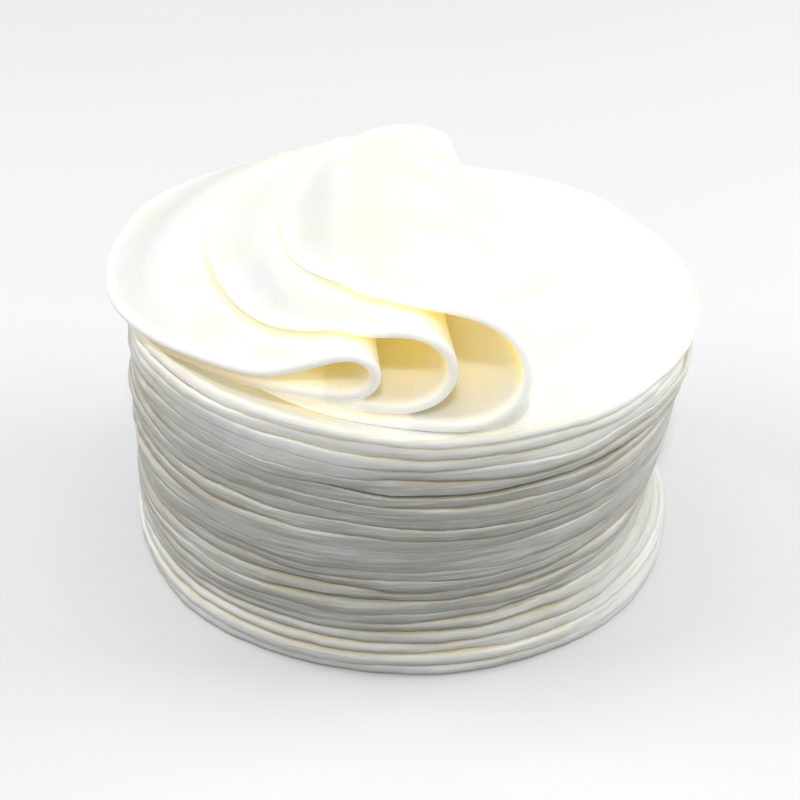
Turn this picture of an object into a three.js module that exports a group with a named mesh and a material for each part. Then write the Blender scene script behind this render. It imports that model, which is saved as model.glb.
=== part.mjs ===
// A stack of round dumpling wrappers: flat discs of rolled dough lying on one another, the top three folded
// over loosely from right to left, one inside the other. Millimetres, +Z up, the folds run along Y and the
// lowest wrapper rests on z = 0 with its middle at the origin.
import * as THREE from "three";

// The flat wrappers.
const FLAT_COUNT = 22;
const STACK_HEIGHT = 39.2;
const FLAT_THICKNESS_MIN = 1.38;
const FLAT_THICKNESS_MAX = 1.66;
const FLAT_SEED = 4177;
const FOOT_LEVEL = 1;
const WAIST_LEVEL = 5;
const FOOT_RADIUS = 40.3;
const WAIST_RADIUS = 38.8;
const TOP_RADIUS = 41.5;
const WAIST_SHIFT = -1.9;
const TOP_SHIFT = 1.3;
const RISE_POWER = 0.8;
const SHIFT_DIRECTION = [0.9925, -0.1219];
const SHIFT_JITTER = 0.25;
const RADIUS_JITTER = 0.2;
const OVAL_SHARE = 0.009;
const FOOT_LONG_AXIS = -50;
const TOP_LONG_AXIS = -90;
const LONG_AXIS_JITTER = 12;
const FLAT_SIDES = 36;
const FLAT_RINGS = [0.87, 1];

// Slow waves of the rims that all the wrappers share, growing from nothing at the lowest to full at the top:
// a long one and a short one, each with its height and the lengths and phases of its sines.
const WAVE_LONG = { height: 0.26, x: 13, y: 15, phaseX: 0.8, phaseY: -0.4 };
const WAVE_SHORT = { height: 0.14, x: 17, y: 9 };
const RIM_RADIUS = 41;
const WAVE_START = 0.55;

// The near side of the pile rises a little from its middle to its rim, and its upper wrappers draw back
// there. At the left the upper rims curl up: height at the top, where the curl starts out from the middle,
// the lowest wrapper that curls, and the middle and half width of the curling arc in degrees.
const NEAR_RISE = 0.6;
const NEAR_RECESS = 1.2;
const NEAR_ANGLE = -97;
const CURL = { height: 1.9, start: 0.88, lowest: 9, middle: 195, half: 95 };

// Rims that sag away from the wrapper above: highest wrapper that sags, how many below share it, drop at the
// rim, and the middle and half width of the sagging arc in degrees.
const SAGS = [
  { highest: 16, shared: 13, drop: 1.0, middle: -74, half: 62 },
  { highest: 14, shared: 11, drop: 0.4, middle: -62, half: 26 },
  { highest: 9, shared: 8, drop: 0.35, middle: -78, half: 24 },
];
const SAG_START = 0.68;

// The folded wrappers, outermost first. The centre is the middle of the disc before folding. The crest is the
// furthest right reach of the fold and the turn is the length of dough that bends round it, each given at the
// near end and at the far end. The dip is the slope of the falling flap, the skew its drift along the fold.
const FOLDED = [
  { name: "outer", centre: [7.0, -2.4], radius: 38.3, crest: [11.5, 12.1],
    turn: [37.2, 17.9], dip: 0.11, skew: 0 },
  { name: "middle", centre: [2.4, -2.7], radius: 35.7, crest: [2.3, 3.3],
    turn: [29.8, 16.4], dip: 0.39, skew: 0.08 },
  { name: "inner", centre: [-2.5, -1.1], radius: 36.7, crest: [-7.4, -4.6],
    turn: [17.5, 6.2], dip: 0.42, skew: 0.21 },
];
const FOLD_THICKNESS = 1.45;
const FOLD_PITCH = 1.66;
const FOLD_CLEARANCE = 0.25;
const FOLD_HALF_LENGTH = 36;
const EDGE_FALL = 0.33;
const DRAPE_SOFTNESS = 0.45;
const DRAPE_BEND = 18;
const FLAP_FROM = 0.35 * Math.PI;
const FLAP_SPAN = 0.5 * Math.PI;
const SLOPE_STEP = 0.05;
const TURN_STEPS = 160;
const COLUMNS_LEFT = 13;
const COLUMNS_TURN = 30;
const COLUMNS_RIGHT = 11;
const COLUMN_CROWDING = 1.8;
const COLUMN_MARGIN = 1;
const FLAP_LEAST = 8;
const ROWS = 9;

const DOUGH_COLOUR = 0xf3ead0;
const DOUGH_ROUGHNESS = 0.75;

// The seeded draws: each state is the one before times the factor plus the step, kept in 32 bits.
const DRAW_FACTOR = 1664525;
const DRAW_STEP = 1013904223;
const DRAW_RANGE = 2 ** 32;

const DEGREE = Math.PI / 180;
const FULL_CIRCLE = 360;

// Seeded draws in 0 to 1.
function makeDraws(seed) {
  let state = seed;
  return () => {
    state = (Math.imul(state, DRAW_FACTOR) + DRAW_STEP) >>> 0;
    return state / DRAW_RANGE;
  };
}

function between(low, high, share) {
  return low + (high - low) * share;
}

// Smooth step from 0 to 1 with flat ends.
function smooth(t) {
  const c = Math.min(1, Math.max(0, t));
  return c * c * c * (c * (6 * c - 15) + 10);
}

// The higher of two heights, with the corner between them rounded.
function softHigher(u, v) {
  return (u + v) / 2 + Math.hypot((u - v) / 2, DRAPE_SOFTNESS);
}

function wave(x, y) {
  const rim = smooth((Math.hypot(x, y) / RIM_RADIUS - WAVE_START) / (1 - WAVE_START));
  const { height, phaseX, phaseY } = WAVE_LONG;
  const long = height * Math.sin(x / WAVE_LONG.x + phaseX) * Math.cos(y / WAVE_LONG.y + phaseY);
  const short = WAVE_SHORT.height * Math.sin(x / WAVE_SHORT.x + y / WAVE_SHORT.y);
  return rim * (long + short) + (NEAR_RISE * Math.max(0, -y)) / RIM_RADIUS;
}

// 1 in the middle of an arc round the pile, falling smoothly to 0 at its ends.
function onArc(arc, x, y) {
  const apart = Math.abs(Math.atan2(y, x) / DEGREE - arc.middle) % FULL_CIRCLE;
  return smooth(1 - Math.min(apart, FULL_CIRCLE - apart) / arc.half);
}

// How far the rim of a flat wrapper has sagged at a point.
function sag(level, x, y) {
  const reach = Math.max(0, (Math.hypot(x, y) / RIM_RADIUS - SAG_START) / (1 - SAG_START));
  let drop = 0;
  for (const s of SAGS) {
    if (level > s.highest) continue;
    const share = Math.max(0, 1 - (s.highest - level) / s.shared);
    drop += s.drop * share * reach * reach * onArc(s, x, y);
  }
  return drop;
}

// How far a face of the pile, counted from below, has curled up at a point.
function curl(face, x, y) {
  const reach = (Math.hypot(x, y) / RIM_RADIUS - CURL.start) / (1 - CURL.start);
  const share = smooth((face - CURL.lowest) / (FLAT_COUNT - CURL.lowest));
  return CURL.height * share * smooth(reach) * onArc(CURL, x, y);
}

// A closed body from vertices and triangles.
function solid(name, points, triangles) {
  const geometry = new THREE.BufferGeometry();
  geometry.setAttribute("position", new THREE.Float32BufferAttribute(points.flat(), 3));
  geometry.setIndex(triangles.flat());
  geometry.computeVertexNormals();
  const finish = { color: DOUGH_COLOUR, roughness: DOUGH_ROUGHNESS, metalness: 0 };
  const mesh = new THREE.Mesh(geometry, new THREE.MeshStandardMaterial(finish));
  mesh.name = name;
  return mesh;
}

// Thickness, place and outline of every flat wrapper, lowest first.
function flatWrappers() {
  const draw = makeDraws(FLAT_SEED);
  const jitter = (size) => between(-size, size, draw());
  const list = [];
  for (let level = 0; level < FLAT_COUNT; level++) {
    const foot = Math.min(1, Math.max(0, (level - FOOT_LEVEL) / (WAIST_LEVEL - FOOT_LEVEL)));
    const up = Math.max(0, (level - WAIST_LEVEL) / (FLAT_COUNT - 1 - WAIST_LEVEL)) ** RISE_POWER;
    const shift = foot * between(WAIST_SHIFT, TOP_SHIFT, up);
    const loose = level === 0 ? 0 : SHIFT_JITTER;
    list.push({
      level,
      thickness: between(FLAT_THICKNESS_MIN, FLAT_THICKNESS_MAX, draw()),
      radius: between(FOOT_RADIUS, between(WAIST_RADIUS, TOP_RADIUS, up), foot) + jitter(RADIUS_JITTER),
      x: SHIFT_DIRECTION[0] * shift + jitter(loose),
      y: SHIFT_DIRECTION[1] * shift + jitter(loose),
      recess: foot * up * NEAR_RECESS,
      longAxis: (between(FOOT_LONG_AXIS, TOP_LONG_AXIS, foot) + jitter(LONG_AXIS_JITTER)) * DEGREE,
    });
  }
  const dough = list.reduce((sum, w) => sum + w.thickness, 0);
  const gap = (STACK_HEIGHT - dough) / (FLAT_COUNT - 1);
  let z = 0;
  for (const w of list) {
    w.bottom = z;
    z += w.thickness + gap;
  }
  return list;
}

// One flat wrapper: a middle point and rings on both faces, joined by the rim.
function flatSolid(w) {
  const points = [];
  const lift = w.level / (FLAT_COUNT - 1);
  const faceSize = 1 + FLAT_RINGS.length * FLAT_SIDES;
  for (const face of [0, 1]) {
    const rest = w.bottom + face * w.thickness;
    const height = (x, y) => rest + lift * wave(x, y) - sag(w.level, x, y) + curl(w.level + face, x, y);
    points.push([w.x, w.y, height(w.x, w.y)]);
    for (const share of FLAT_RINGS) {
      for (let k = 0; k < FLAT_SIDES; k++) {
        const angle = (2 * Math.PI * k) / FLAT_SIDES;
        const oval = w.radius * (1 + OVAL_SHARE * Math.cos(2 * (angle - w.longAxis)));
        const r = share * (oval - w.recess * Math.max(0, Math.cos(angle - NEAR_ANGLE * DEGREE)) ** 2);
        const x = w.x + r * Math.cos(angle);
        const y = w.y + r * Math.sin(angle);
        points.push([x, y, height(x, y)]);
      }
    }
  }
  const at = (face, ring, k) => face * faceSize + 1 + ring * FLAT_SIDES + (k % FLAT_SIDES);
  const triangles = [];
  const last = FLAT_RINGS.length - 1;
  for (let k = 0; k < FLAT_SIDES; k++) {
    triangles.push([faceSize, at(1, 0, k), at(1, 0, k + 1)]);
    triangles.push([0, at(0, 0, k + 1), at(0, 0, k)]);
    for (let ring = 0; ring < last; ring++) {
      triangles.push([at(1, ring, k), at(1, ring + 1, k), at(1, ring + 1, k + 1)]);
      triangles.push([at(1, ring, k), at(1, ring + 1, k + 1), at(1, ring, k + 1)]);
      triangles.push([at(0, ring, k), at(0, ring + 1, k + 1), at(0, ring + 1, k)]);
      triangles.push([at(0, ring, k), at(0, ring, k + 1), at(0, ring + 1, k + 1)]);
    }
    triangles.push([at(0, last, k), at(0, last, k + 1), at(1, last, k + 1)]);
    triangles.push([at(0, last, k), at(1, last, k + 1), at(1, last, k)]);
  }
  const name = `flat_wrapper_${String(w.level + 1).padStart(2, "0")}`;
  return solid(name, points, triangles);
}

// The fold of one wrapper drawn for a turn of length 1: the dough leaves the flat sheet, bends round and
// heads back to the left, sloping down by the dip.
function turnCurve(dip) {
  const curve = { x: [0], z: [0], heading: [0] };
  for (let k = 1; k <= TURN_STEPS; k++) {
    const heading = (Math.PI + dip) * smooth(k / TURN_STEPS);
    const mean = (heading + curve.heading[k - 1]) / 2;
    curve.x.push(curve.x[k - 1] + Math.cos(mean) / TURN_STEPS);
    curve.z.push(curve.z[k - 1] + Math.sin(mean) / TURN_STEPS);
    curve.heading.push(heading);
  }
  curve.reach = Math.max(...curve.x);
  curve.top = curve.z.indexOf(Math.max(...curve.z));
  return curve;
}

for (const w of FOLDED) w.curve = turnCurve(w.dip);

// Value of a curve's column at a share of the turn.
function onCurve(column, share) {
  const place = Math.min(1, Math.max(0, share)) * TURN_STEPS;
  const k = Math.min(TURN_STEPS - 1, Math.floor(place));
  return between(column[k], column[k + 1], place - k);
}

// Crest, turn and the place where the sheet starts to lift, at a place along the fold.
function foldAt(w, b) {
  const share = (b + FOLD_HALF_LENGTH) / (2 * FOLD_HALF_LENGTH);
  const crest = between(w.crest[0], w.crest[1], share);
  const turn = between(w.turn[0], w.turn[1], share);
  return { crest, turn, start: crest - FOLD_THICKNESS / 2 - turn * w.curve.reach };
}

// Height of the middle of a folded wrapper's lower sheet. It lies on the flat wrappers and on the lower
// sheets of the wrappers outside it, and settles past their rims.
function sheetHeight(index, x, y) {
  let z = STACK_HEIGHT + wave(x, y) + FOLD_CLEARANCE + FOLD_THICKNESS / 2;
  for (let k = 0; k < index; k++) {
    const under = FOLDED[k];
    const out = Math.hypot(x - under.centre[0], y - under.centre[1]) / under.radius - 1;
    z += FOLD_PITCH * (1 - smooth(out / EDGE_FALL));
  }
  return z;
}

// Height of a falling flap, held up by what lies under it.
function drape(index, x, y, z) {
  const inside = index + 1 < FOLDED.length ? flapHeight(index + 1, x, y) : sheetHeight(index, x, y);
  return softHigher(z, inside + FOLD_PITCH);
}

// Height of the middle of a flap at a point. Right of the top of its fold the height falls away gently, as a
// wrapper laid over it would.
function flapHeight(index, x, y) {
  const w = FOLDED[index];
  const b = y - w.skew * Math.max(0, foldAt(w, y).crest - x);
  const { turn, start } = foldAt(w, b);
  const topX = start + turn * w.curve.x[w.curve.top];
  const endX = start + turn * w.curve.x[TURN_STEPS];
  const at = Math.min(x, topX);
  let rise = turn * w.curve.z[TURN_STEPS] - (endX - at) * Math.tan(w.dip);
  for (let k = w.curve.top; k < TURN_STEPS && at > endX; k++) {
    const left = start + turn * w.curve.x[k + 1];
    const right = start + turn * w.curve.x[k];
    if (at >= left && at <= right) {
      rise = turn * between(w.curve.z[k + 1], w.curve.z[k], (at - left) / (right - left));
      break;
    }
  }
  const past = Math.max(0, x - topX);
  return drape(index, at, y, rise + sheetHeight(index, at, y)) - (past * past) / (2 * DRAPE_BEND);
}

// Middle of the dough of a folded wrapper, for the place (a, b) it had on the flat disc.
function foldPoint(index, a, b) {
  const w = FOLDED[index];
  const { crest, turn, start } = foldAt(w, b);
  const share = (a - start) / turn;
  const past = Math.max(0, share - 1) * turn;
  const heading = share < 0 ? 0 : onCurve(w.curve.heading, share);
  const x = share < 0 ? a : start + turn * onCurve(w.curve.x, share) - past * Math.cos(w.dip);
  const rise = share < 0 ? 0 : turn * onCurve(w.curve.z, share) - past * Math.sin(w.dip);
  const over = smooth((heading - FLAP_FROM) / FLAP_SPAN);
  const y = b + w.skew * (crest - x) * over;
  const z = sheetHeight(index, x, y) + rise;
  return [x, y, over > 0 ? between(z, drape(index, x, y, z), over) : z];
}

// A point on one face of a folded wrapper: half the thickness along the upright of the middle surface.
function facePoint(index, a, b, side) {
  const p = new THREE.Vector3(...foldPoint(index, a, b));
  const across = new THREE.Vector3(...foldPoint(index, a + SLOPE_STEP, b));
  across.sub(new THREE.Vector3(...foldPoint(index, a - SLOPE_STEP, b)));
  const along = new THREE.Vector3(...foldPoint(index, a, b + SLOPE_STEP));
  along.sub(new THREE.Vector3(...foldPoint(index, a, b - SLOPE_STEP)));
  const upright = across.cross(along).normalize();
  return p.addScaledVector(upright, (side * FOLD_THICKNESS) / 2).toArray();
}

// Places across the disc, from its left end to its right end, closer together at the ends and round the turn.
function columnPlaces(w) {
  const left = w.centre[0] - w.radius;
  const right = w.centre[0] + w.radius;
  const ends = [foldAt(w, -FOLD_HALF_LENGTH), foldAt(w, FOLD_HALF_LENGTH)];
  const first = Math.min(...ends.map((e) => e.start)) - COLUMN_MARGIN;
  const last = Math.min(Math.max(...ends.map((e) => e.start + e.turn)) + COLUMN_MARGIN, right - FLAP_LEAST);
  const places = [];
  for (let k = 0; k < COLUMNS_LEFT; k++) {
    places.push(between(left, first, (k / COLUMNS_LEFT) ** COLUMN_CROWDING));
  }
  for (let k = 0; k < COLUMNS_TURN; k++) places.push(between(first, last, k / COLUMNS_TURN));
  for (let k = 0; k <= COLUMNS_RIGHT; k++) {
    places.push(between(right, last, (1 - k / COLUMNS_RIGHT) ** COLUMN_CROWDING));
  }
  return places;
}

// One folded wrapper: a grid on both faces, columns across the fold and rows along it, closer together at the
// rim, joined by the rim. The first and last column are a single point each.
function foldedSolid(index) {
  const w = FOLDED[index];
  const places = columnPlaces(w);
  const end = places.length - 1;
  const points = [];
  const at = [];
  for (const side of [1, -1]) {
    const face = [];
    places.forEach((a, i) => {
      const half = Math.sqrt(Math.max(0, w.radius ** 2 - (a - w.centre[0]) ** 2));
      const column = [];
      for (let j = 0; j <= ROWS; j++) {
        const single = (i === 0 || i === end) && j > 0;
        const b = w.centre[1] + half * Math.sin((j / ROWS - 0.5) * Math.PI);
        if (!single) points.push(facePoint(index, a, b, side));
        column.push(points.length - 1);
      }
      face.push(column);
    });
    at.push(face);
  }
  const triangles = [];
  const add = (p, q, r) => {
    if (p !== q && q !== r && p !== r) triangles.push([p, q, r]);
  };
  const [upper, lower] = at;
  for (let i = 0; i < end; i++) {
    for (let j = 0; j < ROWS; j++) {
      add(upper[i][j], upper[i + 1][j], upper[i + 1][j + 1]);
      add(upper[i][j], upper[i + 1][j + 1], upper[i][j + 1]);
      add(lower[i][j], lower[i + 1][j + 1], lower[i + 1][j]);
      add(lower[i][j], lower[i][j + 1], lower[i + 1][j + 1]);
    }
    add(lower[i][0], lower[i + 1][0], upper[i + 1][0]);
    add(lower[i][0], upper[i + 1][0], upper[i][0]);
    add(upper[i][ROWS], upper[i + 1][ROWS], lower[i + 1][ROWS]);
    add(upper[i][ROWS], lower[i + 1][ROWS], lower[i][ROWS]);
  }
  return solid(`folded_wrapper_${w.name}`, points, triangles);
}

const stack = new THREE.Group();
stack.name = "dumpling_wrapper_stack";
for (const w of flatWrappers()) stack.add(flatSolid(w));
FOLDED.forEach((_, index) => stack.add(foldedSolid(index)));

export default stack;
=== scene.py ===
"""Looks of a stack of dumpling wrappers: 22 flat rounds of rolled dough and three folded ones on top.

Sizes are in millimetres until a mesh is made. +Z is up, +Y runs along the folds away from the viewer.
"""
import math

import bpy
import numpy as np
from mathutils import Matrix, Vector


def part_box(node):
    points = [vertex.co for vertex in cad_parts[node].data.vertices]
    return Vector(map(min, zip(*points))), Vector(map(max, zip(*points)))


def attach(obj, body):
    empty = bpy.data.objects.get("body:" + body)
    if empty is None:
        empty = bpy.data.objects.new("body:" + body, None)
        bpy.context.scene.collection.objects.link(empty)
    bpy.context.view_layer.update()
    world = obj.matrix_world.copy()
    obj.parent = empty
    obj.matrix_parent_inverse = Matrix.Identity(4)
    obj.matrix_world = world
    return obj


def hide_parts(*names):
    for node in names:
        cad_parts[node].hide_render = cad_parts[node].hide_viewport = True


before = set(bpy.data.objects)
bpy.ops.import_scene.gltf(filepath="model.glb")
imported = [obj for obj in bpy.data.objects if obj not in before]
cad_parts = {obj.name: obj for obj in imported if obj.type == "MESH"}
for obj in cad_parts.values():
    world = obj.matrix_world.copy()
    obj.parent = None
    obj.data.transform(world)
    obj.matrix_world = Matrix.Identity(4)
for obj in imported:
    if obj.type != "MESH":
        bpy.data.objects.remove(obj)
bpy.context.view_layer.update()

MM = 0.001
FULL_TURN = 2.0 * math.pi

# The viewer: where the camera stands, how far it turns from +Y to +X, how far it looks down, and its lens.
CAMERA_PLACE = (-29.7, -237.6, 174.0)
CAMERA_TURN = 7.0
CAMERA_PITCH = 32.8
CAMERA_LENS = 85.5
CAMERA_SENSOR = 36.0

# The studio, in metres and watts: a pale floor, a faint sky and four soft square lamps.
FLOOR_HALF = 2.0
FLOOR_ROUGHNESS = 0.9
FLOOR_COLOURS = ((0.77, 0.77, 0.77, 1.0), (0.79, 0.79, 0.79, 1.0))
FLOOR_NOISE = {"scale": (0.01, 0.01, 0.01), "detail": 2.0, "roughness": 0.5}
SKY_COLOUR = (0.96, 0.98, 1.0, 1.0)
SKY_STRENGTH = 0.24
LAMPS = (
    {"name": "overhead", "place": (0.0, 0.15, 0.9), "aim": (0.0, 0.0, 0.03), "size": 0.6, "power": 2.4,
     "colour": (1.0, 0.99, 0.97)},
    {"name": "front_high", "place": (-0.06, -0.52, 0.65), "aim": (0.0, 0.0, 0.04), "size": 0.05, "power": 2.5,
     "colour": (0.92, 0.96, 1.0)},
    {"name": "right_side", "place": (0.65, 0.04, 0.3), "aim": (0.0, 0.0, 0.03), "size": 0.5, "power": 3.4,
     "colour": (1.0, 1.0, 0.97)},
    {"name": "left_side", "place": (-0.56, 0.12, 0.5), "aim": (0.0, 0.0, 0.03), "size": 0.5, "power": 2.4,
     "colour": (1.0, 1.0, 0.98)},
)

# The solids of the flat wrappers: corners round a rim, how near to the middle its own points lie, and the
# share of the reach past which a point is on the rim. What lies between is the knee.
FLAT_COUNT = 22
CAD_SIDES = 36
POLE_REACH = 5.0
RIM_FROM = 0.91

# The finished rings of a flat wrapper: places round it, shares of the reach on a face, which bends from the
# knee on, and shares of the height round the rim.
RIM_PLACES = 480
KNEE = 0.87
FACE_SHARES = (0.3, 0.6, 0.75, KNEE, 0.9, 0.93, 0.955, 0.978, 0.992)
CURL_POWER = 1.4
RIM_HEIGHTS = (1.0, 0.985, 0.95, 0.89, 0.8, 0.66, 0.5, 0.34, 0.2, 0.11, 0.05, 0.015, 0.0)

# The rim's corners, and how far the gap to the neighbour is filled, where the two are parted and where they
# are pressed together. A parted rim is cut back a little at its foot.
RIM_ROUNDING = {"parted": 0.65, "pressed": 0.04}
RIM_SQUARENESS = {"parted": 2.0, "pressed": 7.0}
FILL_SHARE = {"parted": 0.8, "pressed": 0.99}
GAP_FILL = 0.3
UNDERCUT = 0.16

# Unevenness round a rim: how many waves go round it, and their height. Each wave's weight is drawn.
FLAT_SEED = 11
FOLD_SEED = 23
WAVE_WEIGHTS = (0.5, 1.0)
REACH_WOBBLE = {"orders": range(2, 12), "height": 0.2}
REACH_GRAIN = {"orders": range(24, 70, 3), "height": 0.035}
LEVEL_WOBBLE = {"orders": range(4, 22), "height": 0.12}
LEVEL_GRAIN = {"orders": range(30, 90, 5), "height": 0.018}
UNDERCUT_WOBBLE = {"orders": range(1, 7), "height": 0.6}
PRESS_PATCHES = {"orders": range(1, 11), "height": 0.32}
FOLD_WOBBLE = {"orders": range(3, 14), "height": 0.14}

# How firmly neighbours are pressed together, 0 parted to 1 one smooth flank: by level, and over two flanks,
# the foot's right and the upper left, given by their levels and their turns round the pile in radians.
PRESS = {"least": 0.2, "middle": 0.65, "middle_level": 11.5, "middle_span": 3.0, "draw": 0.2}
FLANKS = (
    {"levels": (-2.0, 7.0), "turns": (-1.25, 0.6), "amount": 1.0},
    {"levels": (13.0, 20.0), "turns": (-2.8, -1.65), "amount": 0.8},
)
FLANK_BLUR = {"level": 2.0, "turn": 0.35}

# Tone and painted light of a flat wrapper. LEVEL_LIGHT_AND_TONE: the upper ones and the lowest are painted
# paler than the middle ones, as painted light, and the middle ones darker, as painted shade; each also
# differs by a drawn tone.
# PRESSED_LIT: where a pressed flank lies between the painted shade at a rim's foot, 0, and the painted light
# at its upper edge, 1. THROUGH: the level from which the rims let light through. CREVICE_SHADE: the share of
# the reach from which a face lies in a groove, where shade is painted.
LEVEL_LIGHT_AND_TONE = {"upper_from": 15.0, "upper_span": 5.5, "foot_to": 5.0, "foot_span": 4.5, "draw": 0.15}
PRESSED_LIT = 0.6
THROUGH = {"from": 18.0, "span": 3.6}
CREVICE_SHADE = {"from": 0.9, "span": 0.08}

# The folded wrappers, outermost first, with the sizes of the solids that they stand for. The glow is how much
# light comes through into the fold.
FOLDED = (
    {"name": "outer", "centre": (7.0, -2.4), "radius": 38.3, "crest": (11.5, 12.1),
     "turn": (37.2, 17.9), "dip": 0.11, "skew": 0.0, "glow": 1.3},
    {"name": "middle", "centre": (2.4, -2.7), "radius": 35.7, "crest": (2.3, 3.3),
     "turn": (29.8, 16.4), "dip": 0.39, "skew": 0.08, "glow": 1.0},
    {"name": "inner", "centre": (-2.5, -1.1), "radius": 36.7, "crest": (-7.4, -4.6),
     "turn": (17.5, 6.2), "dip": 0.42, "skew": 0.21, "glow": 0.7},
)

# How the folds lie: the stack under them, the sheet and the room it takes, the half length of a fold, the
# share of a radius over which a sheet settles past a rim, and how softly a flap drapes. From the heading
# FLAP_FROM on a sheet turns into a flap.
STACK_HEIGHT = 39.2
FOLD_THICKNESS = 1.45
FOLD_PITCH = 1.66
FOLD_CLEARANCE = 0.25
FOLD_HALF_LENGTH = 36.0
EDGE_FALL = 0.33
DRAPE_SOFTNESS = 0.45
DRAPE_BEND = 18.0
FLAP_FROM = 0.35 * math.pi
FLAP_SPAN = 0.5 * math.pi

# The finished rings of a folded wrapper, the steps of its turn, and the step that its slope is taken over.
FOLD_PLACES = 480
FOLD_RINGS = 72
TURN_STEPS = 160
SLOPE_STEP = 0.05

# Slow waves of the rims that all the wrappers share, and the rise of the near side.
WAVE_LONG = {"height": 0.26, "x": 13.0, "y": 15.0, "phase_x": 0.8, "phase_y": -0.4}
WAVE_SHORT = {"height": 0.14, "x": 17.0, "y": 9.0}
RIM_RADIUS = 41.0
WAVE_START = 0.55
NEAR_RISE = 0.6

# Tone of a folded wrapper, drawn between two values of paleness. GLOW: where light comes through the thin
# dough into a fold, by the sheet's heading, how far along the flap it reaches, and how it fades at the rim.
# RIM_GLOW_REACH: how far in from a thin rim the light that it lets through reaches.
FOLDED_PALE = (0.3, 0.7)
GLOW = {"from": 0.25 * math.pi, "span": 0.45 * math.pi, "flap_reach": 14.0, "rim_reach": 1.2}
RIM_GLOW_REACH = 2.5

# Golden shade where a folded rim lies close over another sheet: the distance that it fades from, the span of
# that, and points on the rim. Under a wrapper's own flap it reaches further and fades towards the fold, and
# close to the others' rims it is weaker. The light that a rim lets through spills further still. On the
# flat sheet the shade lies at the left only.
SHADE = {"from": 0.6, "span": 1.2, "places": 320, "spill": 6.0, "own_flap": 0.25, "own_reach": 14.0,
         "others": 0.7, "left_from": -8.0, "left_span": 12.0}

# Noises in the dough: features a millimetre along X, Y and Z, and where each starts.
MOTTLE = {"scale": (0.08, 0.08, 0.3), "detail": 4.0, "roughness": 0.6}
STREAK = {"scale": (0.1, 0.1, 2.2), "detail": 4.0, "roughness": 0.6, "place": (3.0, 1.0, 7.0)}
SPECK = {"scale": (2.2, 2.2, 3.0), "detail": 3.0, "roughness": 0.7, "place": (1.0, 9.0, 2.0)}
PATCH = {"scale": (0.05, 0.05, 0.4), "detail": 2.0, "roughness": 0.5, "place": (5.0, 2.0, 4.0)}
FIBRE = {"scale": (0.07, 0.07, 3.4), "detail": 4.0, "roughness": 0.7, "place": (2.0, 6.0, 3.0)}
GRAIN = {"scale": (0.35, 0.35, 4.5), "detail": 4.0, "roughness": 0.65}

# Between which values each noise or layer comes in, and how much each counts.
SPREAD_RAMP = (0.3, 0.7)
PALE_SHARE = {"layer": 0.9, "mottle": 0.25}
LIT = {"ramp": (0.15, 0.75), "streaks": 0.7, "streak_middle": 0.5}
FLOUR = {"streak_ramp": (0.5, 0.68), "streaks": 0.6, "speck_ramp": (0.6, 0.75), "specks": 0.3}
# CREASE_SHADE: painted shade in the creases between wrappers, uneven in patches.
CREASE_SHADE = {"ramp": (0.3, 1.0), "patch_ramp": (0.35, 0.65), "least": 0.35, "patches": 0.65}
FIBRE_RAMP = (0.48, 0.68)
TOP_MOTTLE_RAMP = (0.42, 0.7)
INSIDE_LIGHT = {"least": 0.7, "mottle": 0.45}
RELIEF = {"grain": 0.6, "fibre": 0.6, "strength": 0.6}
GLOSS = {"roughness": 0.4, "specks": 0.25, "specular": 0.4}

# Colours of the two doughs. low and high are a rim's foot, with painted shade, and its upper edge, with
# painted light; pale_low and pale_high the same on a pale wrapper, and flour lies over them. The next
# five are tints: painted shade in creases, fibres, the top's mottle, painted golden shade under rims and
# painted golden light inside a fold. The rest is light from behind.
NO_TINT = (1.0, 1.0, 1.0, 1.0)
NO_LIGHT = (0.0, 0.0, 0.0, 1.0)
FLAT_COLOURS = {
    "low": (0.42, 0.4, 0.33, 1.0), "high": (0.62, 0.605, 0.555, 1.0),
    "pale_low": (0.82, 0.8, 0.72, 1.0), "pale_high": (0.93, 0.93, 0.9, 1.0),
    "flour": (0.86, 0.865, 0.87, 1.0), "fibre": (0.84, 0.82, 0.75, 1.0),
    "crease_shade": (0.8, 0.74, 0.62, 1.0), "mottle": (1.0, 0.985, 0.89, 1.0),
    "shade": (1.0, 0.88, 0.62, 1.0), "inside": NO_TINT,
    "crease_light": (0.055, 0.045, 0.03, 1.0), "shade_light": (0.08, 0.055, 0.018, 1.0),
    "spill_light": NO_LIGHT, "inside_light": NO_LIGHT, "rim_light": (0.16, 0.155, 0.14, 1.0),
}
FOLDED_COLOURS = {
    "low": (0.94, 0.92, 0.84, 1.0), "high": (0.94, 0.92, 0.84, 1.0),
    "pale_low": (0.95, 0.94, 0.87, 1.0), "pale_high": (0.95, 0.94, 0.87, 1.0),
    "flour": (0.96, 0.96, 0.94, 1.0), "fibre": (0.95, 0.92, 0.82, 1.0),
    "crease_shade": NO_TINT, "mottle": (1.0, 0.99, 0.9, 1.0),
    "shade": (0.68, 0.55, 0.3, 1.0), "inside": (1.0, 0.9, 0.58, 1.0),
    "crease_light": NO_LIGHT, "shade_light": (0.04, 0.03, 0.01, 1.0),
    "spill_light": (0.15, 0.145, 0.12, 1.0), "inside_light": (0.46, 0.335, 0.085, 1.0),
    "rim_light": (0.16, 0.155, 0.14, 1.0),
}

# How deep the fine relief is, and how far light scatters under the surface.
FLAT_DEPTHS = {"bump_depth": 0.12, "scatter": 0.6}
FOLDED_DEPTHS = {"bump_depth": 0.06, "scatter": 3.0}


def smooth(t):
    """Step from 0 to 1 with flat ends: 6 t^5 - 15 t^4 + 10 t^3, held outside 0 to 1."""
    c = np.clip(t, 0.0, 1.0)
    return c * c * c * (c * (6.0 * c - 15.0) + 10.0)


def between(low, high, share):
    """The value a share of the way from low to high."""
    return low + (high - low) * share


def window(value, low, high, blur):
    """1 between low and high, falling smoothly to 0 at both."""
    return smooth((value - low) / blur) * smooth((high - value) / blur)


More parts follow.
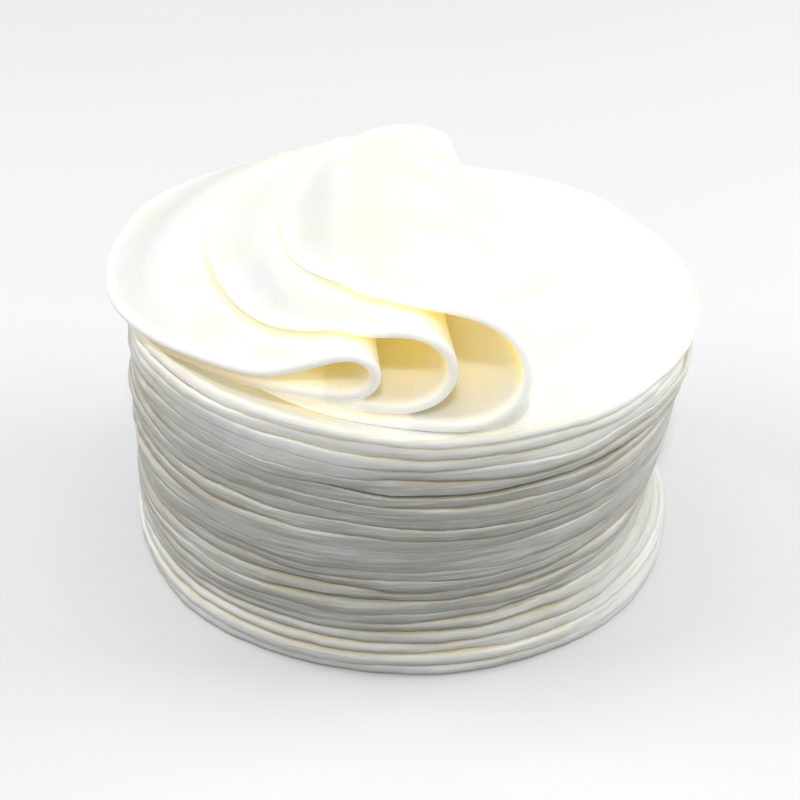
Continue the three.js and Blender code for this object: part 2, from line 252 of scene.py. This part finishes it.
def soft_higher(u, v):
    """The higher of two heights, softly: half their sum plus the length of (half gap, softness)."""
    return (u + v) / 2.0 + np.hypot((u - v) / 2.0, DRAPE_SOFTNESS)


def round_angles(count):
    """Angles of evenly spaced places, once round."""
    return np.arange(count) * (FULL_TURN / count)


def wave_growth(share):
    """How far the waves have grown at a share of the way to the rim: 0 where they start, 1 at the rim."""
    return smooth((share - WAVE_START) / (1.0 - WAVE_START))


def wave(x, y):
    """A long wave, sine by cosine, and a short slanting sine, growing to the rim, and the near rise."""
    long_x = np.sin(x / WAVE_LONG["x"] + WAVE_LONG["phase_x"])
    long_y = np.cos(y / WAVE_LONG["y"] + WAVE_LONG["phase_y"])
    short = np.sin(x / WAVE_SHORT["x"] + y / WAVE_SHORT["y"])
    waves = WAVE_LONG["height"] * long_x * long_y + WAVE_SHORT["height"] * short
    grown = wave_growth(np.hypot(x, y) / RIM_RADIUS)
    return grown * waves + NEAR_RISE * np.maximum(0.0, -y) / RIM_RADIUS


def ripple(draw, angle, waves):
    """A closed row of uneven heights: cosines of the given orders with drawn phases and weights.

    The weights fall with the root of the order, and the root of the heights' mean square is the given one."""
    orders = np.asarray(waves["orders"], float)
    phases = draw.uniform(0.0, FULL_TURN, orders.size)
    weights = draw.uniform(*WAVE_WEIGHTS, orders.size) / np.sqrt(orders / orders[0])
    total = weights @ np.cos(orders[:, None] * angle[None, :] + phases[:, None])
    return waves["height"] * total / np.sqrt(0.5 * (weights ** 2).sum())


def closed_grid(name, points, top, bottom, layers):
    """A closed mesh from rings of points, ring by ring from the top pole to the bottom pole.

    points has the shape (rings, places, 3). Neighbouring rings are joined by four-sided faces and the first
    and last ring to a single point each. layers holds named values for each ring and place."""
    rings, places = points.shape[:2]
    vertices = np.concatenate([points.reshape(-1, 3), [top, bottom]]) * MM
    ring = np.arange(rings - 1)[:, None] * places
    here = np.arange(places)[None, :]
    after = np.roll(np.arange(places), -1)[None, :]
    corners = [ring + here, ring + places + here, ring + places + after, ring + after]
    quads = np.stack(corners, -1).reshape(-1, 4)
    last = (rings - 1) * places
    pole = rings * places
    upper = np.stack([np.full(places, pole), here[0], after[0]], -1)
    lower = np.stack([np.full(places, pole + 1), last + after[0], last + here[0]], -1)
    mesh = bpy.data.meshes.new(name)
    mesh.from_pydata(vertices.tolist(), [], quads.tolist() + upper.tolist() + lower.tolist())
    for label, values in layers.items():
        attribute = mesh.attributes.new(label, "FLOAT", "POINT")
        spread = np.concatenate([values.reshape(-1), values[0, :1], values[-1, :1]])
        attribute.data.foreach_set("value", spread.astype(np.float32))
    mesh.polygons.foreach_set("use_smooth", np.ones(len(mesh.polygons), bool))
    mesh.update()
    piece = bpy.data.objects.new(name, mesh)
    bpy.context.scene.collection.objects.link(piece)
    return piece


def rim_inset(height, rounding, squareness):
    """How far a rounded rim draws in at a height share h: rounding times 1 - (1 - |2h - 1|^p)^(1/p)."""
    away = np.abs(2.0 * height - 1.0) ** squareness
    return rounding * (1.0 - (1.0 - away) ** (1.0 / squareness))


def closed_curve(corners):
    """A closed row of values carried to more places by its Fourier series, which passes through them all."""
    return np.fft.irfft(np.fft.rfft(corners), RIM_PLACES) * (RIM_PLACES / len(corners))


def sector_curve(pick, sector, values):
    """The highest or the lowest of the values in each sector round the disc, as a closed curve."""
    corners = np.full(CAD_SIDES, -np.inf if pick is np.maximum else np.inf)
    pick.at(corners, sector, values)
    return closed_curve(corners)


def from_pile_middle(middle, radius, curves):
    """A rim's reach and other curves round it, carried to the turn at which the pile's middle sees them."""
    angle = round_angles(RIM_PLACES)
    x = middle[0] + radius * np.cos(angle)
    y = middle[1] + radius * np.sin(angle)
    turn = np.arctan2(y, x)
    seen = {"radius": np.hypot(x, y), **curves}
    return {name: np.interp(angle, turn, values, period=FULL_TURN) for name, values in seen.items()}


def cad_rim(node):
    """A flat wrapper's solid: its rim's reach, and its faces' heights at the middle, the knee and the rim.

    The rim, and the knee where the faces start to bend, are rings with one corner in each sector. The curves
    are returned as seen from the middle of the pile."""
    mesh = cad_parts[node].data
    points = np.empty(len(mesh.vertices) * 3)
    mesh.vertices.foreach_get("co", points)
    points = points.reshape(-1, 3) / MM
    box_middle = (np.array(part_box(node)) / MM).mean(0)[:2]
    pole = np.hypot(*(points[:, :2] - box_middle).T) < POLE_REACH
    middle = points[pole, :2].mean(0)
    offset = points[:, :2] - middle
    away = np.hypot(offset[:, 0], offset[:, 1])
    turn = np.arctan2(offset[:, 1], offset[:, 0]) / FULL_TURN
    sector = np.rint(turn * CAD_SIDES).astype(int) % CAD_SIDES
    rim = away > RIM_FROM * away.max()
    knee = ~rim & ~pole
    z = points[:, 2]
    radius = sector_curve(np.maximum, sector[rim], away[rim])
    curves = {
        "low": sector_curve(np.minimum, sector[rim], z[rim]),
        "high": sector_curve(np.maximum, sector[rim], z[rim]),
        "knee_low": sector_curve(np.minimum, sector[knee], z[knee]),
        "knee_high": sector_curve(np.maximum, sector[knee], z[knee]),
    }
    seen = from_pile_middle(middle, radius, curves)
    return {**seen, "flat_low": z[pole].min(), "flat_high": z[pole].max()}


def flat_name(level):
    """Node of the flat wrapper at a level, counted from 0 at the foot."""
    return f"flat_wrapper_{level + 1:02d}"


def pressed(draw, angle, level):
    """How firmly the face above a level is pressed to its neighbour, round the pile.

    A drawn mean, higher in the middle of the pile by a bell curve of the level, with slow patches, or the
    amount of a flank where that is more."""
    bell = np.exp(-((level - PRESS["middle_level"]) / PRESS["middle_span"]) ** 2)
    mean = PRESS["least"] + PRESS["middle"] * bell + draw.uniform(-PRESS["draw"], PRESS["draw"])
    press = mean + ripple(draw, angle, PRESS_PATCHES)
    turn = (angle + math.pi) % FULL_TURN - math.pi
    for flank in FLANKS:
        round_pile = window(turn, *flank["turns"], FLANK_BLUR["turn"])
        up_pile = window(level, *flank["levels"], FLANK_BLUR["level"])
        press = np.maximum(press, flank["amount"] * round_pile * up_pile)
    return np.clip(press, 0.0, 1.0)


def flat_wrappers():
    """The flat wrappers, lowest first.

    Each rim follows its solid's corners. Neighbours share the unevenness of the face between them: it wobbles
    up and down for both alike. Where they are pressed, the gap closes and both rims run to the same reach,
    and where they are parted, part of the gap stays open and each keeps its own reach and rounder corners."""
    draw = np.random.default_rng(FLAT_SEED)
    angle = round_angles(RIM_PLACES)
    rims = [cad_rim(flat_name(level)) for level in range(FLAT_COUNT)]
    for rim in rims:
        rim["reach"] = rim["radius"] + ripple(draw, angle, REACH_WOBBLE)
        rim["reach"] += ripple(draw, angle, REACH_GRAIN)
    still = np.zeros(RIM_PLACES)
    faces = [{"shift": still, "fill": still, "press": still, "reach": rims[0]["reach"]}]
    for level, (below, above) in enumerate(zip(rims[:-1], rims[1:])):
        press = pressed(draw, angle, level)
        gap = np.minimum(above["low"] - below["high"], GAP_FILL)
        fill = gap * between(FILL_SHARE["parted"], FILL_SHARE["pressed"], press) / 2.0
        shift = ripple(draw, angle, LEVEL_WOBBLE)
        shift += ripple(draw, angle, LEVEL_GRAIN)
        reach = (below["reach"] + above["reach"]) / 2.0
        faces.append({"shift": shift, "fill": fill, "press": press, "reach": reach})
    faces.append({"shift": still, "fill": still, "press": still, "reach": rims[-1]["reach"]})
    return [flat_wrapper(level, angle, rims[level], faces[level], faces[level + 1], draw)
            for level in range(FLAT_COUNT)]


def face_height(flat, knee, rim):
    """Height of a face ring by ring: to the knee it changes as the waves grow, then it bends to the rim."""
    shares = np.array(FACE_SHARES)[:, None]
    grown = np.minimum(wave_growth(shares) / wave_growth(KNEE), 1.0)
    bend = np.clip((shares - KNEE) / (1.0 - KNEE), 0.0, 1.0) ** CURL_POWER
    return flat + (knee - flat) * grown + (rim - knee) * bend


def paleness(level, draw):
    """How pale a flat wrapper is: paler at the top and the foot as painted light, darker in the middle as
    painted shade, with a drawn difference of tone.
    """
    upper = smooth((level - LEVEL_LIGHT_AND_TONE["upper_from"]) / LEVEL_LIGHT_AND_TONE["upper_span"])
    foot = smooth((LEVEL_LIGHT_AND_TONE["foot_to"] - level) / LEVEL_LIGHT_AND_TONE["foot_span"])
    return max(upper, foot) + draw.uniform(-LEVEL_LIGHT_AND_TONE["draw"], LEVEL_LIGHT_AND_TONE["draw"])


def flat_layers(level, points, press, draw):
    """Values for a flat wrapper's finish, ring by ring: on the upper face, the rim and the lower face.

    crease_shade: how deep a place lies in the groove between two wrappers, where shade is painted, lifted by
    a
    little painted light. up: how near to the rim's upper edge it is, which sets painted light there and
    painted shade at its foot. pale: how pale the wrapper is, paler at the top and the foot as painted light.
    rim: how much light its rim lets through. On the top wrapper there are also shade, the golden shade beside
    the folded rims, and top, which marks its open face."""
    share = np.array(RIM_HEIGHTS)[:, None]
    shares = np.array(FACE_SHARES)[:, None]
    on_top = level == FLAT_COUNT - 1
    groove = np.abs(2.0 * share - 1.0) * (1.0 - press)
    crevice_shade = smooth((shares - CREVICE_SHADE["from"]) / CREVICE_SHADE["span"]) * np.ones(RIM_PLACES)
    ones = np.ones_like(crevice_shade)
    zeros = np.zeros_like(crevice_shade)
    through = smooth((level - THROUGH["from"]) / THROUGH["span"])
    layers = {
        "crease_shade": np.concatenate([zeros if on_top else crevice_shade, groove, crevice_shade[::-1]]),
        "up": np.concatenate([ones, between(share, PRESSED_LIT, press), zeros]),
        "pale": np.full(points.shape[:2], paleness(level, draw)),
        "rim": np.concatenate([zeros, np.full_like(groove, through), zeros]),
    }
    if on_top:
        distance = np.min([rim_distance(points, index) for index in range(len(FOLDED))], 0)
        at_left = smooth((SHADE["left_from"] - points[:, :, 0]) / SHADE["left_span"])
        layers["shade"] = rim_shade(distance) * at_left
        layers["top"] = np.concatenate([ones, np.zeros_like(groove), zeros])
    return layers


def flat_wrapper(level, angle, rim, under, over, draw):
    """One flat wrapper: rings out on the upper face, round the rounded rim, and back on the lower face.

    The cut rim leans in a little towards its foot. Its corners are rounder where the neighbour is parted."""
    share = np.array(RIM_HEIGHTS)[:, None]
    press = np.where(share > 0.5, over["press"], under["press"])
    rounding = between(RIM_ROUNDING["parted"], RIM_ROUNDING["pressed"], press)
    squareness = between(RIM_SQUARENESS["parted"], RIM_SQUARENESS["pressed"], press)
    low = rim["low"] + under["shift"] - under["fill"]
    high = rim["high"] + over["shift"] + over["fill"]
    undercut = UNDERCUT * (1.0 - under["press"]) * (1.0 + ripple(draw, angle, UNDERCUT_WOBBLE))
    reach_low = between(rim["reach"] - undercut, under["reach"], under["press"])
    reach_high = between(rim["reach"], over["reach"], over["press"])
    side_reach = between(reach_low, reach_high, share) - rim_inset(share, rounding, squareness)
    side_height = between(low, high, share)
    inner_high = face_height(rim["flat_high"], rim["knee_high"], high)
    inner_low = face_height(rim["flat_low"], rim["knee_low"], low)
    shares = np.array(FACE_SHARES)[:, None]
    reach = np.concatenate([shares * side_reach[:1], side_reach, (shares * side_reach[-1:])[::-1]])
    z = np.concatenate([inner_high, side_height, inner_low[::-1]])
    points = np.stack([reach * np.cos(angle), reach * np.sin(angle), z], -1)
    top = (0.0, 0.0, rim["flat_high"])
    bottom = (0.0, 0.0, rim["flat_low"])
    layers = flat_layers(level, points, press, draw)
    piece = closed_grid(f"{flat_name(level)}_dough", points, top, bottom, layers)
    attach(piece, "root")
    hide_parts(flat_name(level))
    return piece


def turn_curve(dip):
    """A fold for a turn of length 1: the heading grows smoothly from 0 to half a turn plus the dip."""
    share = np.linspace(0.0, 1.0, TURN_STEPS + 1)
    heading = (math.pi + dip) * smooth(share)
    mean = (heading[1:] + heading[:-1]) / 2.0
    x = np.concatenate([[0.0], np.cumsum(np.cos(mean))]) / TURN_STEPS
    z = np.concatenate([[0.0], np.cumsum(np.sin(mean))]) / TURN_STEPS
    return {"share": share, "x": x, "z": z, "heading": heading, "reach": x.max(), "top": int(z.argmax())}


CURVES = [turn_curve(wrapper["dip"]) for wrapper in FOLDED]


def fold_at(index, b):
    """Crest, turn and the place where the sheet starts to lift, at a place along the fold."""
    wrapper = FOLDED[index]
    share = (b + FOLD_HALF_LENGTH) / (2.0 * FOLD_HALF_LENGTH)
    crest = between(*wrapper["crest"], share)
    turn = between(*wrapper["turn"], share)
    return crest, turn, crest - FOLD_THICKNESS / 2.0 - turn * CURVES[index]["reach"]


def sheet_height(index, x, y):
    """Middle of a lower sheet: it lies on the stack and the sheets outside it, settling past their rims."""
    z = STACK_HEIGHT + wave(x, y) + FOLD_CLEARANCE + FOLD_THICKNESS / 2.0
    for under in FOLDED[:index]:
        out = np.hypot(x - under["centre"][0], y - under["centre"][1]) / under["radius"] - 1.0
        z = z + FOLD_PITCH * (1.0 - smooth(out / EDGE_FALL))
    return z


def drape(index, x, y, z):
    """Height of a falling flap, held up by what lies under it."""
    if index + 1 < len(FOLDED):
        inside = flap_height(index + 1, x, y)
    else:
        inside = sheet_height(index, x, y)
    return soft_higher(z, inside + FOLD_PITCH)


def flap_height(index, x, y):
    """Middle of a flap over a point. Right of the top of its fold it falls away as a square, gently."""
    curve = CURVES[index]
    dip = FOLDED[index]["dip"]
    b = y - FOLDED[index]["skew"] * np.maximum(0.0, fold_at(index, y)[0] - x)
    _, turn, start = fold_at(index, b)
    top_x = start + turn * curve["x"][curve["top"]]
    end_x = start + turn * curve["x"][-1]
    at = np.minimum(x, top_x)
    falling_x = curve["x"][curve["top"]:][::-1]
    falling_z = curve["z"][curve["top"]:][::-1]
    bent = turn * np.interp((at - start) / turn, falling_x, falling_z)
    straight = turn * curve["z"][-1] - (end_x - at) * np.tan(dip)
    rise = np.where(at > end_x, bent, straight)
    past = np.maximum(0.0, x - top_x)
    return drape(index, at, y, rise + sheet_height(index, at, y)) - past * past / (2.0 * DRAPE_BEND)


def fold_point(index, a, b):
    """Middle of the dough of a folded wrapper, for the place (a, b) it had on the flat disc.

    The disc stays flat up to where the sheet lifts, follows the turn, and runs on straight as the flap, which
    swings along the fold by the skew and is held up by what lies under it."""
    curve = CURVES[index]
    wrapper = FOLDED[index]
    crest, turn, start = fold_at(index, b)
    share = (a - start) / turn
    past = np.maximum(0.0, share - 1.0) * turn
    heading = np.interp(share, curve["share"], curve["heading"])
    bent_x = start + turn * np.interp(share, curve["share"], curve["x"]) - past * np.cos(wrapper["dip"])
    x = np.where(share < 0.0, a, bent_x)
    rise = turn * np.interp(share, curve["share"], curve["z"]) - past * np.sin(wrapper["dip"])
    over = smooth((heading - FLAP_FROM) / FLAP_SPAN)
    y = b + wrapper["skew"] * (crest - x) * over
    z = sheet_height(index, x, y) + rise
    return np.stack([x, y, between(z, drape(index, x, y, z), over)], -1)


def fold_upright(index, a, b):
    """Unit upright of the middle surface, the cross product of its slopes across and along the disc."""
    across = fold_point(index, a + SLOPE_STEP, b) - fold_point(index, a - SLOPE_STEP, b)
    along = fold_point(index, a, b + SLOPE_STEP) - fold_point(index, a, b - SLOPE_STEP)
    upright = np.cross(across, along)
    return upright / np.linalg.norm(upright, axis=-1, keepdims=True)


def rim_distance(points, index, flap_only=False):
    """Distance of each point to the nearest place on a folded wrapper's rim, or on the flap's part of it."""
    wrapper = FOLDED[index]
    angle = round_angles(SHADE["places"])
    a = wrapper["centre"][0] + wrapper["radius"] * np.cos(angle)
    b = wrapper["centre"][1] + wrapper["radius"] * np.sin(angle)
    rim = fold_point(index, a, b)
    if flap_only:
        _, turn, start = fold_at(index, b)
        rim = rim[a > start + turn]
    flat = points.reshape(-1, 3)
    squares = (flat ** 2).sum(1)[:, None] + (rim ** 2).sum(1)[None, :] - 2.0 * flat @ rim.T
    return np.sqrt(np.maximum(squares, 0.0)).min(1).reshape(points.shape[:2])


def rim_shade(distance):
    """Shade near a rim: 1 close to it, falling smoothly with the distance."""
    return smooth(1.0 - (distance - SHADE["from"]) / SHADE["span"])


def rim_spill(distance):
    """Light let through by a rim: 1 at it, falling smoothly with the distance."""
    return smooth(1.0 - distance / SHADE["spill"])


def fold_layers(index, a, b, from_rim, side, points, draw):
    """Values for a folded wrapper's finish, for places (a, b) on its disc.

    inside: light that comes through into the fold, on the inner face from where the sheet turns up to a way
    along the flap. shade: golden shade close to the other rims, and on the lower sheet under the own flap.
    spill: light from the other rims, on the flap's outer face and on the lower sheet. rim: light in the
    wrapper's own rim."""
    curve = CURVES[index]
    _, turn, start = fold_at(index, b)
    heading = np.interp((a - start) / turn, curve["share"], curve["heading"])
    along_flap = np.maximum(0.0, a - start - turn)
    inside = smooth((heading - GLOW["from"]) / GLOW["span"]) * np.clip(side, 0.0, 1.0)
    inside = inside * (1.0 - smooth(along_flap / GLOW["flap_reach"]))
    inside = inside * smooth(from_rim / GLOW["rim_reach"])
    outside = np.where(heading > FLAP_FROM, side < 0.0, a < start)
    others = [other for other in range(len(FOLDED)) if other != index]
    distance = np.min([rim_distance(points, other) for other in others], 0)
    own_distance = rim_distance(points, index, True) * SHADE["own_flap"]
    under_flap = rim_shade(own_distance) * smooth((start - a) / SHADE["own_reach"])
    return {
        "pale": np.full_like(a, draw.uniform(*FOLDED_PALE)),
        "up": np.ones_like(a),
        "top": np.ones_like(a),
        "inside": inside * FOLDED[index]["glow"],
        "shade": np.maximum(SHADE["others"] * rim_shade(distance), under_flap),
        "spill": rim_spill(distance) * outside,
        "rim": 1.0 - smooth(from_rim / RIM_GLOW_REACH),
    }


def folded_wrapper(index, draw):
    """One folded wrapper: rings of the flat disc on both faces, joined round the rim, carried by the fold.

    side runs from 1 on the upper face of the disc to -1 on the lower one."""
    wrapper = FOLDED[index]
    angle = round_angles(FOLD_PLACES)
    height = np.array(RIM_HEIGHTS)
    rounding = RIM_ROUNDING["parted"]
    rim = wrapper["radius"] + ripple(draw, angle, FOLD_WOBBLE)
    inner = np.arange(1, FOLD_RINGS) / FOLD_RINGS
    face_reach = inner[:, None] * (rim - rounding)[None, :]
    side_reach = rim[None, :] - rim_inset(height, rounding, RIM_SQUARENESS["parted"])[:, None]
    reach = np.concatenate([face_reach, side_reach, face_reach[::-1]])
    side = np.concatenate([np.ones(len(inner)), 2.0 * height - 1.0, -np.ones(len(inner))])[:, None]
    a = wrapper["centre"][0] + reach * np.cos(angle)
    b = wrapper["centre"][1] + reach * np.sin(angle)
    half = side[:, :, None] * FOLD_THICKNESS / 2.0
    points = fold_point(index, a, b) + half * fold_upright(index, a, b)
    middle = [np.array([value]) for value in wrapper["centre"]]
    pole = fold_point(index, *middle)[0]
    upright = fold_upright(index, *middle)[0] * FOLD_THICKNESS / 2.0
    layers = fold_layers(index, a, b, rim - reach, side, points, draw)
    node = f"folded_wrapper_{wrapper['name']}"
    piece = closed_grid(f"{node}_dough", points, pole + upright, pole - upright, layers)
    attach(piece, "root")
    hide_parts(node)
    return piece


class Wire:
    """A value in a shader. Sums, differences and products of wires and numbers add Math nodes."""

    def __init__(self, finish, socket):
        self.finish = finish
        self.socket = socket

    def __add__(self, other):
        return self.finish.math("ADD", self, other)

    def __sub__(self, other):
        return self.finish.math("SUBTRACT", self, other)

    def __rsub__(self, other):
        return self.finish.math("SUBTRACT", other, self)

    def __mul__(self, other):
        return self.finish.math("MULTIPLY", self, other)

    __radd__ = __add__
    __rmul__ = __mul__


class Finish:
    """A material in the making. The light in it is too faint to be sampled as a lamp."""

    def __init__(self, name):
        self.material = bpy.data.materials.new(name)
        self.material.use_nodes = True
        self.material.cycles.emission_sampling = "NONE"
        self.tree = self.material.node_tree
        self.tree.nodes.clear()

    def add(self, kind, settings, sockets, output=0):
        """A node of a kind: first its settings, then its sockets' values or wires. Returns one output."""
        node = self.tree.nodes.new(kind)
        for key, value in settings.items():
            setattr(node, key, value)
        for key, value in sockets.items():
            if isinstance(value, Wire):
                self.tree.links.new(value.socket, node.inputs[key])
            else:
                node.inputs[key].default_value = value
        return Wire(self, node.outputs[output]) if node.outputs else None

    def math(self, operation, first, second):
        """A sum, difference or product of two values."""
        return self.add("ShaderNodeMath", {"operation": operation}, {0: first, 1: second})

    def mix(self, share, first, second, blend="MIX"):
        """Two colours blended by a share of the second. The numbers are the Mix node's colour sockets."""
        settings = {"data_type": "RGBA", "blend_type": blend}
        return self.add("ShaderNodeMix", settings, {0: share, 6: first, 7: second}, 2)

    def ramp(self, value, low, high):
        """0 below low, 1 above high, smooth between."""
        settings = {"interpolation_type": "SMOOTHSTEP"}
        return self.add("ShaderNodeMapRange", settings, {"Value": value, "From Min": low, "From Max": high})

    def layer(self, name):
        """A named value of the mesh, 0 where the mesh has none of that name."""
        return self.add("ShaderNodeAttribute", {"attribute_name": name}, {}, "Fac")

    def noise(self, scale, detail, roughness, place=(0.0, 0.0, 0.0)):
        """Noise on the piece's own coordinates; scale is in features a millimetre along X, Y and Z."""
        coordinates = self.add("ShaderNodeTexCoord", {}, {}, "Object")
        size = tuple(value / MM for value in scale)
        mapped = self.add("ShaderNodeMapping", {}, {"Vector": coordinates, "Scale": size, "Location": place})
        sockets = {"Vector": mapped, "Scale": 1.0, "Detail": detail, "Roughness": roughness}
        return self.add("ShaderNodeTexNoise", {}, sockets)

    def close(self, surface):
        """The finished material, with its surface joined to the output."""
        self.add("ShaderNodeOutputMaterial", {}, {"Surface": surface})
        return self.material


def dough(name, colours, bump_depth, scatter):
    """Raw rolled dough: cream with a slow mottle, floured in streaks and specks, painted tan shade in
    creases.

    A cut rim has painted light towards its upper edge, paler and bluer, and painted shade at its foot. Close
    under another rim the dough is shaded golden. The inside of a fold is painted golden by light that comes
    through the dough. Rims, creases and folds shine faintly with light from behind."""
    finish = Finish(name)
    mottle = finish.noise(**MOTTLE)
    streak = finish.noise(**STREAK)
    speck = finish.noise(**SPECK)
    patch = finish.noise(**PATCH)
    fibre = finish.noise(**FIBRE)
    grain = finish.noise(**GRAIN)
    inside = finish.layer("inside")
    shade = finish.layer("shade")
    top = finish.layer("top")

    spread = finish.ramp(mottle, *SPREAD_RAMP)
    share = finish.layer("pale") * PALE_SHARE["layer"] + spread * PALE_SHARE["mottle"]
    low = finish.mix(share, colours["low"], colours["pale_low"])
    high = finish.mix(share, colours["high"], colours["pale_high"])
    # Painted light towards a rim's upper edge and painted shade at its foot, broken by streaks.
    lit = finish.ramp(finish.layer("up") + (streak - LIT["streak_middle"]) * LIT["streaks"], *LIT["ramp"])
    streaks = finish.ramp(streak, *FLOUR["streak_ramp"]) * FLOUR["streaks"]
    specks = finish.ramp(speck, *FLOUR["speck_ramp"]) * FLOUR["specks"]
    base = finish.mix(streaks + specks, finish.mix(lit, low, high), colours["flour"])

    # Painted tan shade in the creases between wrappers, uneven in patches, with a little painted light.
    patches = CREASE_SHADE["least"] + finish.ramp(patch, *CREASE_SHADE["patch_ramp"]) * CREASE_SHADE["patches"]
    crease_shade = finish.ramp(finish.layer("crease_shade"), *CREASE_SHADE["ramp"]) * patches
    tints = (
        (crease_shade, colours["crease_shade"]),
        (finish.ramp(fibre, *FIBRE_RAMP) * (1.0 - top + inside), colours["fibre"]),
        (top * finish.ramp(mottle, *TOP_MOTTLE_RAMP), colours["mottle"]),
        (shade, colours["shade"]),
        (inside, colours["inside"]),
    )
    for amount, colour in tints:
        base = finish.mix(amount, base, colour, "MULTIPLY")

    lights = (
        (crease_shade, colours["crease_light"]),
        (shade, colours["shade_light"]),
        (finish.layer("spill"), colours["spill_light"]),
        (inside * (INSIDE_LIGHT["least"] + spread * INSIDE_LIGHT["mottle"]), colours["inside_light"]),
        (finish.layer("rim"), colours["rim_light"]),
    )
    light = NO_LIGHT
    for amount, colour in lights:
        light = finish.mix(amount, light, colour, "ADD")

    relief = {
        "Strength": RELIEF["strength"],
        "Distance": bump_depth * MM,
        "Height": grain * RELIEF["grain"] + fibre * RELIEF["fibre"],
    }
    sockets = {
        "Base Color": base,
        "Roughness": GLOSS["roughness"] + speck * GLOSS["specks"],
        "Normal": finish.add("ShaderNodeBump", {}, relief),
        "Specular IOR Level": GLOSS["specular"],
        "Subsurface Weight": 1.0,
        "Subsurface Radius": (1.0, 1.0, 1.0),
        "Subsurface Scale": scatter * MM,
        "Emission Color": light,
        "Emission Strength": 1.0,
    }
    return finish.close(finish.add("ShaderNodeBsdfPrincipled", {}, sockets))


def pale_floor():
    """A flat square of matt near-white."""
    finish = Finish("pale_floor")
    tint = finish.mix(finish.noise(**FLOOR_NOISE), *FLOOR_COLOURS)
    surface = finish.add("ShaderNodeBsdfPrincipled", {}, {"Base Color": tint, "Roughness": FLOOR_ROUGHNESS})
    half = FLOOR_HALF
    mesh = bpy.data.meshes.new("floor")
    corners = [(-half, -half, 0.0), (half, -half, 0.0), (half, half, 0.0), (-half, half, 0.0)]
    mesh.from_pydata(corners, [], [(0, 1, 2, 3)])
    floor = bpy.data.objects.new("floor", mesh)
    floor.data.materials.append(finish.close(surface))
    floor.visible_diffuse = False
    bpy.context.scene.collection.objects.link(floor)


def add_camera():
    """A camera at the viewer's place, turned and pitched as the photograph is."""
    turn = math.radians(CAMERA_TURN)
    pitch = math.radians(CAMERA_PITCH)
    look = Vector((math.sin(turn) * math.cos(pitch), math.cos(turn) * math.cos(pitch), -math.sin(pitch)))
    data = bpy.data.cameras.new("camera")
    data.lens = CAMERA_LENS
    data.sensor_width = CAMERA_SENSOR
    camera = bpy.data.objects.new("camera", data)
    camera.location = Vector(CAMERA_PLACE) * MM
    camera.rotation_euler = look.to_track_quat("-Z", "Y").to_euler()
    bpy.context.scene.collection.objects.link(camera)
    bpy.context.scene.camera = camera


def add_lamp(name, place, aim, size, power, colour):
    """A square soft light at a place, facing a point."""
    data = bpy.data.lights.new(name, "AREA")
    data.size = size
    data.energy = power
    data.color = colour
    lamp = bpy.data.objects.new(name, data)
    direction = Vector(aim) - Vector(place)
    lamp.location = place
    lamp.rotation_euler = direction.to_track_quat("-Z", "Y").to_euler()
    bpy.context.scene.collection.objects.link(lamp)


def add_light():
    """The faint sky and the lamps."""
    world = bpy.data.worlds.new("studio")
    world.use_nodes = True
    background = world.node_tree.nodes["Background"]
    background.inputs["Color"].default_value = SKY_COLOUR
    background.inputs["Strength"].default_value = SKY_STRENGTH
    bpy.context.scene.world = world
    for lamp in LAMPS:
        add_lamp(**lamp)


def main():
    """Dress every wrapper and set up the studio."""
    flat_finish = dough("flat_dough", FLAT_COLOURS, **FLAT_DEPTHS)
    folded_finish = dough("folded_dough", FOLDED_COLOURS, **FOLDED_DEPTHS)
    for piece in flat_wrappers():
        piece.data.materials.append(flat_finish)
    draw = np.random.default_rng(FOLD_SEED)
    for index in range(len(FOLDED)):
        folded_wrapper(index, draw).data.materials.append(folded_finish)
    pale_floor()
    add_camera()
    add_light()
    bpy.context.scene.view_settings.view_transform = "Standard"


main()
